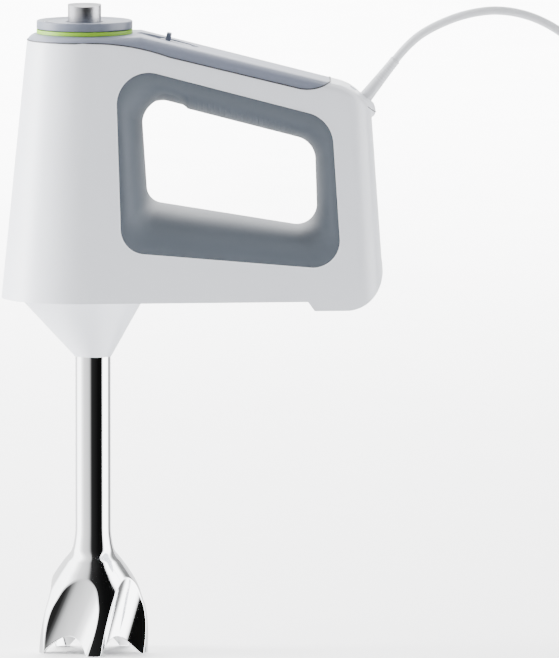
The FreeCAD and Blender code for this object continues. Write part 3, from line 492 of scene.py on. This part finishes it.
def flute_wall(turn, level, inset):
    """Distance from the bell's axis to the nearest flute's wall, or None."""
    ray = Vector((math.cos(turn), math.sin(turn), 0))
    best = None
    for middle, rising in FLUTE_LINES:
        if ray.dot(middle) <= 0:
            continue
        start = Vector((0, 0, level)) - middle
        start -= rising * start.dot(rising)
        step = ray - rising * ray.dot(rising)
        half = start.dot(step) / step.length_squared
        spare = half ** 2 - (start.length_squared - (FLUTE_RADIUS + inset) ** 2) / step.length_squared
        if spare > 0:
            wall = -half - math.sqrt(spare)
            best = wall if best is None else min(best, wall)
    return best


def rim_level(angle):
    """Height of the arched rim between the feet, at an angle from the front foot."""
    sector = 2 * math.pi / FLUTES
    valley = angle % sector - sector / 2
    reach = NOTCH_RADIUS ** 2 - (BELL_RADIUS * math.sin(valley)) ** 2
    return max(0.0, NOTCH_HEIGHT - NOTCH_RADIUS + math.sqrt(reach)) if reach > 0 else 0.0


def steel_shaft():
    """Polished tube that flares into a five-footed bell with leaning flutes, in one skin."""
    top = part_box("bell_guard")[1].z
    tube_low, tube_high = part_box("shaft_tube")
    neck = (tube_high.x - tube_low.x) / 2
    profile = [(rise * top, share * BELL_RADIUS) for share, rise in BELL_PROFILE]
    profile += [(top, neck + FLARE_END), (top + FLARE_RUN, neck), (top + FLARE_AFTER, neck)]
    columns, rows_up, rows_tube = 720, 170, 40
    turns = [2 * math.pi * column / columns - math.pi / 2 for column in range(columns)]
    sheets = []
    for inset in (0.0, BELL_WALL):
        rows = []
        for number in range(rows_up + 1):
            row = []
            for angle in turns:
                rim = rim_level(angle + math.pi / 2)
                level = rim + (top - rim) * number / rows_up
                radius = catmull(profile, level) - inset
                wall = flute_wall(angle, level, inset)
                if wall is not None:
                    radius = soft_minimum(radius, wall, CREASE)
                row.append(Vector((radius * math.cos(angle), radius * math.sin(angle), level)))
            rows.append(row)
        for number in range(1, rows_tube + 1):
            level = top + (tube_high.z - top) * (number / rows_tube) ** 2
            radius = catmull(profile, level) - inset if level < top + FLARE_RUN else neck - inset
            rows.append([Vector((radius * math.cos(angle), radius * math.sin(angle), level))
                         for angle in turns])
        sheets.append(rows)
    mesh = ring_mesh("steel_shaft", sheets[0] + sheets[1][::-1])
    piece = new_piece("steel_shaft", mesh, "blender_attachment", "polished_steel")
    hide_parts("shaft_tube", "bell_guard")


steel_shaft()


# ------------------------------------------------------------------ top controls and cord swivel

DIAL_HUB = 0.0125
DIAL_MARK_TURN = math.radians(205)
# how far in from the dial's rim and how far below its top the mark starts and ends
DIAL_MARK = [(0.0075, 0.0009), (0.0025, 0.0002)]
DIAL_MARK_RADIUS = 0.0005
DIAL_GAP = 0.0011
HAIRLINE = 0.00022
# (radius, distance) corners of the boss about the exit axis, and the joint round it
SWIVEL_CORNERS = [
    (0.001, -0.0030), (0.0106, -0.0030), (0.0110, -0.0008), (0.0104, 0.0010), (0.0090, 0.0026),
    (0.0074, 0.0038), (0.0060, 0.0046), (0.001, 0.0048),
]
SWIVEL_JOINT_RADIUS = 0.0104
SWIVEL_JOINT_DISTANCE = 0.0012
RELIEF_START = 0.0041
RELIEF_BASE, RELIEF_TIP = 0.0041, 0.00295
RELIEF_TAPER = 0.85
RELIEF_BORE = 0.0005
# shallow flexing rings and the rolled end, as shares of the sleeve's length
FLEX_START, FLEX_END, FLEX_PITCH = 0.42, 0.9, 0.06
FLEX_DEPTH = 0.00012
ROLL_START = 0.96
ROLL_HEIGHT = 0.00022


def speed_dial():
    """Dished dial with a crisp rim and a well for the eject button."""
    low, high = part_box("speed_dial")
    ring_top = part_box("accent_ring")[1].z
    centre = Vector(((low.x + high.x) / 2, 0, 0))
    radius, top = (high.x - low.x) / 2, high.z
    well = (button_high.x - button_low.x) / 2 + DIAL_GAP
    corners = [
        (well, low.z), (DIAL_HUB, low.z), (DIAL_HUB, ring_top + 0.0003), (radius - 0.0004, ring_top + 0.0003),
        (radius, ring_top + 0.0008), (radius, top - 0.0006), (radius - 0.0005, top),
        (radius - 0.0016, top - 0.0001), (radius - 0.006, top - 0.0010), (well + 0.0035, top - 0.0012),
        (well + 0.0006, top - 0.0008), (well, top - 0.0014),
    ]
    piece = turned_piece("dial", corners, centre, "dial", "grey_dial", edge=0.0003, segments=192)
    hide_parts("speed_dial")
    outwards = Vector((math.cos(DIAL_MARK_TURN), math.sin(DIAL_MARK_TURN), 0))
    mark = [centre + outwards * (radius - inwards) + UP * (top - below) for inwards, below in DIAL_MARK]
    bead("dial_mark", mark, DIAL_MARK_RADIUS, "dial", "white_plastic", closed=False)


def cord_swivel():
    """Round boss at the rear shoulder that turns with the cord."""
    piece = turned_piece("swivel_boss", SWIVEL_CORNERS, SWIVEL, "swivel", "white_plastic", edge=0.0006,
                         along=EXIT_AXIS)
    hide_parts("cord_swivel")
    upwards = EXIT_AXIS.cross(ACROSS)
    middle = SWIVEL + EXIT_AXIS * SWIVEL_JOINT_DISTANCE
    steps = 96
    turns = [2 * math.pi * number / steps for number in range(steps)]
    ring = [middle + (ACROSS * math.cos(turn) + upwards * math.sin(turn)) * SWIVEL_JOINT_RADIUS
            for turn in turns]
    bead("swivel_joint", ring, HAIRLINE, "swivel", "dark_plastic")


def strain_relief():
    """Smooth tapered sleeve with a few shallow flexing rings and a rolled end."""
    outside = []
    steps = 120
    for number in range(steps + 1):
        share = number / steps
        radius = RELIEF_BASE + (RELIEF_TIP - RELIEF_BASE) * share ** RELIEF_TAPER
        if FLEX_START < share < FLEX_END:
            radius -= FLEX_DEPTH * (0.5 - 0.5 * math.cos(2 * math.pi * (share - FLEX_START) / FLEX_PITCH))
        if share > ROLL_START:
            radius += ROLL_HEIGHT * math.sin(math.pi * (share - ROLL_START) / (1 - ROLL_START))
        outside.append((radius, RELIEF_START + (RELIEF_END - RELIEF_START) * share))
    profile = [(RELIEF_BORE, RELIEF_START)] + outside + [(RELIEF_BORE, RELIEF_END)]
    mesh = ring_mesh("relief", lathe_rows(profile, SWIVEL, EXIT_AXIS, 64))
    piece = new_piece("relief_sleeve", mesh, "swivel", "cord_grey")
    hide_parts("strain_relief")


def eject_coil():
    """The spring under the eject button, its own copy of the CAD spring on the motor body."""
    piece = new_piece("eject_coil", NODES["eject_spring"].data.copy(), "motor_body", "machined_steel")
    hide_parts("eject_spring")
    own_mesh(piece)


speed_dial()
eject_coil()
cord_swivel()
strain_relief()


# ------------------------------------------------------------------ soft grip round the hand opening

# corner (x, z, radius) in mm of the opening at mid-plane, and of the grip's edge on the flank
OPENING_CORNERS = [
    ((28.8, 334.2, 12.0), (13.8, 357.0, 19.0)),
    ((33.0, 271.6, 10.0), (17.4, 244.2, 15.0)),
    ((134.6, 255.4, 12.0), (149.2, 232.4, 16.0)),
    ((133.0, 307.4, 14.0), (143.2, 322.7, 20.0)),
]
CORNER_STEPS = 28
SIDE_STEPS = (40, 60, 40, 280)
# how far, in mm, the finger notch rises above the opening's top edge at each x
FINGER_NOTCH = [(27, 0), (31, 0.3), (37, 1.6), (43, 2.7), (48, 3.0), (52.5, 2.3), (55.5, 1.0), (57, 0)]
RIB_PITCH = 3.3
RIB_SPAN = (61.0, 124.0)
RIB_HEIGHT = 0.35
GRIP_THICKNESS = 1.6


def quad_points(corners, grow):
    """Points (x, z) in mm round four rounded corners, moved outwards by grow; corner arc then side."""
    points = []
    spots = [Vector((x, z)) for x, z, radius in corners]
    arcs = []
    for index, spot in enumerate(spots):
        before = (spots[index - 1] - spot).normalized()
        after = (spots[(index + 1) % 4] - spot).normalized()
        angle = before.angle(after)
        tip = spot - (before + after) * (grow / math.sin(angle))
        radius = corners[index][2] + grow
        reach = radius / math.tan(angle / 2)
        centre = tip + (before + after).normalized() * (radius / math.sin(angle / 2))
        arcs.append((tip + before * reach, centre, tip + after * reach))
    for index, (start, centre, end) in enumerate(arcs):
        first, last = start - centre, end - centre
        turn = first.angle_signed(last)
        for step in range(CORNER_STEPS):
            share = turn * step / CORNER_STEPS
            cosine, sine = math.cos(-share), math.sin(-share)
            swung = Vector((first.x * cosine - first.y * sine, first.x * sine + first.y * cosine))
            points.append(centre + swung)
        following = arcs[(index + 1) % 4][0]
        for step in range(SIDE_STEPS[index]):
            points.append(end.lerp(following, step / SIDE_STEPS[index]))
    return points


OUTSIDE = 0.2
OVERHEAD = 0.5


def surface_trees(*names):
    trees = []
    for name in names:
        mesh = NODES[name].data
        trees.append(BVHTree.FromPolygons([vertex.co for vertex in mesh.vertices],
                                          [polygon.vertices for polygon in mesh.polygons]))
    return trees


FLANK_TREES = surface_trees("left_shell", "right_shell", "top_cover", "grip_liner")


def skin(start, direction):
    """First point of the casing met from outside."""
    hits = [tree.ray_cast(start, direction)[0] for tree in FLANK_TREES]
    hits = [hit for hit in hits if hit is not None]
    return min(hits, key=lambda hit: (hit - start).length) if hits else None


def flank(x, z):
    """Half the body's width, in metres, at a place (metres) on its near side."""
    hit = skin(Vector((x, -OUTSIDE, z)), ACROSS)
    return -hit.y if hit else 0.0


def arc_through(first, middle, last, steps):
    """Points of the circle through three places (x, z)."""
    ax, az = middle[0] - first[0], middle[1] - first[1]
    bx, bz = last[0] - first[0], last[1] - first[1]
    cross = 2 * (ax * bz - az * bx)
    a_square, b_square = ax * ax + az * az, bx * bx + bz * bz
    centre_x = first[0] + (bz * a_square - az * b_square) / cross
    centre_z = first[1] + (ax * b_square - bx * a_square) / cross
    start = math.atan2(first[1] - centre_z, first[0] - centre_x)
    sweep = math.atan2(last[1] - centre_z, last[0] - centre_x) - start
    radius = math.dist(first, (centre_x, centre_z))
    turns = [start + sweep * number / steps for number in range(steps + 1)]
    return [(centre_x + radius * math.cos(turn), centre_z + radius * math.sin(turn)) for turn in turns]


HANDLE_SLOPE = math.radians(13.87)
HANDLE_START = (29, 372.4)
COVER_DEPTH = 7.9
NOSE_X = -6.0
NOSE_SEAM = 368.6
NOSE_ARC = (2, 46)
NOSE_SWEEP = 82
NOSE_STEPS = 30
REAR_ARC = (122, 142.5)
REAR_INSET = 0.0003
SEAM_RADIUS = 0.00045
# growth (mm), depth below the skin (m) and radius (m) of the beads round the grip
GRIP_LIP = (0.35, 0.00022, 0.0005)
GRIP_JOINT = (0.0, 0.00008, 0.0002)


def handle_top(x):
    """Level (mm) of the handle's sloping top at x (mm)."""
    return HANDLE_START[1] - math.tan(HANDLE_SLOPE) * (x - HANDLE_START[0])


def seam_line():
    """Points (x, z) in mm along the cover's lower edge, from the nose to the rear."""
    nose_end = (NOSE_ARC[1], handle_top(NOSE_ARC[1]) - COVER_DEPTH)
    rear_start = (REAR_ARC[0], handle_top(REAR_ARC[0]) - COVER_DEPTH)
    line = arc_through((NOSE_ARC[0], NOSE_SEAM), (24.5, 366.2), nose_end, 24)
    line += [(x, handle_top(x) - COVER_DEPTH) for x in range(50, 122, 4)]
    return line + arc_through(rear_start, (134.6, handle_top(134.6) - 5.0),
                              (REAR_ARC[1], handle_top(REAR_ARC[1]) + 0.5), 16)


def cover_seam():
    """Fine dark joint between the grey cover and the white casing, round both flanks."""
    nose_centre = Vector((NOSE_X * MM, 0, NOSE_SEAM * MM))
    near = []
    for number in range(NOSE_STEPS + 1):
        turn = math.radians(180 + NOSE_SWEEP * number / NOSE_STEPS)
        outwards = Vector((math.cos(turn), math.sin(turn), 0))
        near.append(skin(nose_centre + outwards * OUTSIDE, -outwards))
    near += [skin(Vector((x * MM, -OUTSIDE, z * MM)), ACROSS) for x, z in seam_line()]
    near = [spot for spot in near if spot is not None]
    reach = -near[-1].y
    rear_x = REAR_ARC[1] * MM - REAR_INSET
    steps = 20
    across = [skin(Vector((rear_x, -reach + 2 * reach * number / steps, OVERHEAD)), -UP)
              for number in range(1, steps)]
    across = [spot for spot in across if spot is not None]
    far = [Vector((spot.x, -spot.y, spot.z)) for spot in near[:0:-1]]
    bead("cover_seam", near + across + far, SEAM_RADIUS, "motor_body", "dark_plastic")


cover_seam()


def grip_corners(part):
    """Corners part of the way from the opening's edge at mid-plane to the grip's edge on the flank."""
    return [tuple(inner[axis] + part * (edge[axis] - inner[axis]) for axis in range(3))
            for inner, edge in OPENING_CORNERS]


def grip_widths():
    """Half the casing's width just outside the grip's edge, for every point round it."""
    return [flank(spot.x * MM, spot.y * MM) for spot in quad_points(grip_corners(1.0), 0.8)]


def is_top_side(index):
    """Whether a point round the grip lies along the opening's top edge."""
    start = 4 * CORNER_STEPS + sum(SIDE_STEPS[:3])
    return index >= start or index < CORNER_STEPS


def soft_grip():
    """Rolled liner of the hand opening, with a finger notch and fine ribs under its top bar."""
    widths = grip_widths()
    steps = 56
    sheets = []
    for depth in (0.0, GRIP_THICKNESS):
        rows = []
        for number in range(steps + 1):
            angle = -math.pi / 2 + math.pi * number / steps
            roll = 1 - math.cos(angle)
            row = []
            for index, spot in enumerate(quad_points(grip_corners(roll), depth * math.cos(angle))):
                level = spot.y
                if is_top_side(index) and depth == 0.0:
                    level += piecewise(FINGER_NOTCH, spot.x) * (1 - smooth_share(roll, 0.0, 0.75))
                    inside = smooth_share(spot.x, RIB_SPAN[0], RIB_SPAN[0] + 4)
                    inside *= 1 - smooth_share(spot.x, RIB_SPAN[1] - 8, RIB_SPAN[1])
                    inside *= smooth_share(roll, 0.06, 0.16) * (1 - smooth_share(roll, 0.3, 0.5))
                    level -= RIB_HEIGHT * inside * max(0.0, math.cos(2 * math.pi * spot.x / RIB_PITCH)) ** 2
                row.append(Vector((spot.x * MM, (widths[index] - depth * MM) * math.sin(angle), level * MM)))
            rows.append(row)
        sheets.append(rows)
    mesh = ring_mesh("soft_grip", sheets[0] + sheets[1][::-1])
    piece = new_piece("soft_grip", mesh, "motor_body", "soft_grip")
    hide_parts("grip_liner")


def edge_bead(name, side, grow, sink, radius, slot):
    """A bead round the grip's edge on one flank, sunk below the skin by a little."""
    path = [Vector((spot.x * MM, side * (width - sink), spot.y * MM))
            for spot, width in zip(quad_points(grip_corners(1.0), grow), grip_widths())]
    bead(name, path, radius, "motor_body", slot)


def grip_rims():
    """The casing's rounded lip and a fine dark joint round the grip on each flank."""
    for side, word in ((-1, "near"), (1, "far")):
        edge_bead("grip_rim_" + word, side, *GRIP_LIP, "white_plastic")
        edge_bead("grip_joint_" + word, side, *GRIP_JOINT, "dark_plastic")


soft_grip()
grip_rims()

# ------------------------------------------------------------------ floor and light

def emitter(name, size, location, aim, energy):
    data = bpy.data.lights.new(name, "AREA")
    data.shape = "RECTANGLE"
    data.size, data.size_y = size
    data.energy = energy
    lamp = bpy.data.objects.new(name, data)
    bpy.context.scene.collection.objects.link(lamp)
    lamp.location = location
    lamp.visible_camera = False
    lamp.rotation_euler = (Vector(aim) - Vector(location)).to_track_quat("-Z", "Y").to_euler()


def studio_floor():
    half = 40.0
    corners = [(-half, -half, 0), (half, -half, 0), (half, half, 0), (-half, half, 0)]
    mesh = bpy.data.meshes.new("studio_floor")
    mesh.from_pydata(corners, [], [(0, 1, 2, 3)])
    white_floor = moulded("floor_white", (0.93, 0.93, 0.935), 0.6, grain=60, depth=0.0001, spread=0.005)
    mesh.materials.append(white_floor)
    floor = bpy.data.objects.new("studio_floor", mesh)
    bpy.context.scene.collection.objects.link(floor)
    floor.visible_glossy = False


studio_floor()


# bearing in degrees (0 towards the camera, 90 to the right) and brightness of what polished metal mirrors
STUDIO_STOPS = [
    (-180, 2.6), (-130, 2.6), (-122, 7.0), (-92, 7.0), (-76, 3.4), (-60, 2.0), (-30, 1.35), (-24, 1.1),
    (-18, 0.5), (-12, 0.12), (-6, 0.03), (30, 0.008), (61, 0.004), (66, 6.0), (72, 9.0), (108, 9.0),
    (118, 1.4), (124, 0.35), (138, 0.35), (146, 2.0), (180, 2.6),
]
DOME_RADIUS = 1.3
DOME_CENTRE = 0.1


def screen_material():
    """Plain glow as strong as the mesh's own glow value."""
    material = bpy.data.materials.new("studio_screen")
    material.use_nodes = True
    tree = material.node_tree
    tree.nodes.clear()
    reader = tree.nodes.new("ShaderNodeAttribute")
    reader.attribute_name = "glow"
    light = tree.nodes.new("ShaderNodeEmission")
    output = tree.nodes.new("ShaderNodeOutputMaterial")
    link(tree, reader.outputs["Fac"], light.inputs["Strength"])
    link(tree, light.outputs["Emission"], output.inputs["Surface"])
    return material


def studio_dome():
    """Light and dark screens round the object that only polished surfaces mirror."""
    mesh = bpy.data.meshes.new("studio_dome")
    verts, faces, shades = [], [], []
    rises = [-90, -60, -30, 0, 30, 60, 75, 90]
    for bearing in range(-180, 180, 2):
        for rise in rises:
            turn, lift = math.radians(bearing), math.radians(rise)
            spot = Vector((math.sin(turn) * math.cos(lift), -math.cos(turn) * math.cos(lift), math.sin(lift)))
            verts.append(spot * DOME_RADIUS + UP * DOME_CENTRE)
            shades.append(piecewise(STUDIO_STOPS, bearing))
    count = len(rises)
    strips = len(verts) // count
    for strip in range(strips):
        beside = (strip + 1) % strips
        for level in range(count - 1):
            faces.append((strip * count + level, beside * count + level, beside * count + level + 1,
                          strip * count + level + 1))
    mesh.from_pydata(verts, [], faces)
    glow = mesh.attributes.new("glow", "FLOAT", "POINT")
    glow.data.foreach_set("value", shades)
    mesh.materials.append(screen_material())
    dome = bpy.data.objects.new("studio_dome", mesh)
    bpy.context.scene.collection.objects.link(dome)
    dome.visible_camera = False
    dome.visible_diffuse = False
    dome.visible_shadow = False
    dome.visible_transmission = False
    dome.visible_volume_scatter = False


studio_dome()

WORLD_STRENGTH = 0.46
world = bpy.data.worlds.new("studio")
bpy.context.scene.world = world
world.use_nodes = True
background = world.node_tree.nodes["Background"]
background.inputs["Color"].default_value = (1.0, 1.0, 1.0, 1.0)
background.inputs["Strength"].default_value = WORLD_STRENGTH

emitter("overhead", (2.0, 2.0), (-0.5, -0.4, 2.4), (0.1, 0, 0), 40)
emitter("backdrop", (8.0, 6.0), (0.1, 5.4, 3.2), (0.1, 6.0, 0), 3400)
emitter("left_softbox", (1.0, 1.8), (-2.0, 0.2, 0.9), (0.0, 0, 0.25), 190)
emitter("right_softbox", (1.0, 1.8), (2.2, -0.7, 1.0), (0.0, 0, 0.25), 16)
